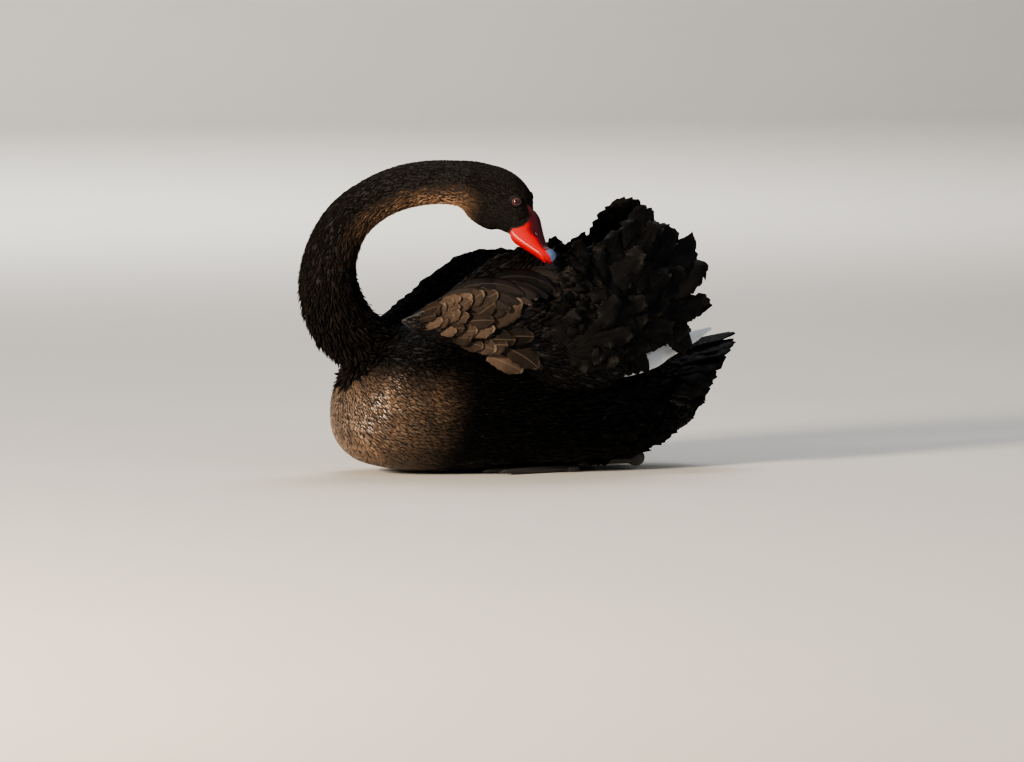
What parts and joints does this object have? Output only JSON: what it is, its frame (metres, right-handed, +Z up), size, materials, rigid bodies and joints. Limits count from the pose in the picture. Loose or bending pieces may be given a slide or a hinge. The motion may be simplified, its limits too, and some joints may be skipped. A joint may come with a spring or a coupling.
{
  "type": "black swan",
  "caption": "Still life-size black swan resting on its belly, neck looped forwards and back over the body, wings half raised with curled feathers, feet tucked under.",
  "frame": {"origin": "middle of the flat under the belly, on the middle plane of the body", "axes": "+Z up; the breast points along -X and the tail along +X; the bird's left side is at -Y"},
  "size_m": [0.5956, 0.2924, 0.4098],
  "materials": {
    "body": "sooty black plumage, close and slightly glossy",
    "neck": "brown-black short plumage",
    "wing": "black feathers with worn brown edges",
    "white_quill": "white flight feathers",
    "bill": "red horn, pale band near the tip",
    "eye": "dark red iris, wet gloss",
    "leg": "dark grey scaled skin"
  },
  "bodies": {
    "root": {"torso": "body", "neck_lower": "neck", "neck_middle": "neck", "neck_upper": "neck", "head": "neck", "eye_left": "eye", "eye_right": "eye", "bill_upper": "bill", "bill_lower": "bill", "wing_left": "wing", "wing_right": "wing", "wing_left_primaries": "white_quill", "wing_right_primaries": "white_quill", "tail": "body", "leg_left": "leg", "leg_right": "leg", "foot_left": "leg", "foot_right": "leg"}
  },
  "joints": []
}
